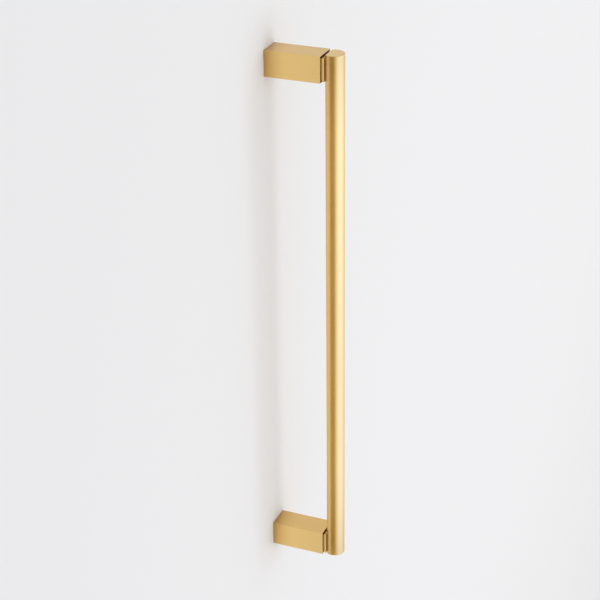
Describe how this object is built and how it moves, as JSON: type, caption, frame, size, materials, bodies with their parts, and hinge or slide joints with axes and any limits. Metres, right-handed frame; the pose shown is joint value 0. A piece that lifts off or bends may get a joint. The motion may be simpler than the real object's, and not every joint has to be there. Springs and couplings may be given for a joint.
{
  "type": "cabinet pull",
  "caption": "Straight bar pull in satin brass: a round bar with a flat back on square posts, each with a reveal groove and a threaded hole for a bolt through the door.",
  "frame": {"origin": "midway between the two door bolt holes, on the plane of the posts' back faces", "axes": "+Z along the bar, +Y into the door, -Y out of the door towards the hand, X across the door"},
  "size_m": [0.016, 0.0463, 0.3368],
  "materials": {
    "satin_brass": "satin brushed, clear lacquered",
    "stud_steel": "plain zinc plated"
  },
  "bodies": {
    "root": {"grip_bar": "satin_brass", "upper_post": "satin_brass", "lower_post": "satin_brass", "upper_stud": "stud_steel", "lower_stud": "stud_steel"}
  },
  "joints": []
}
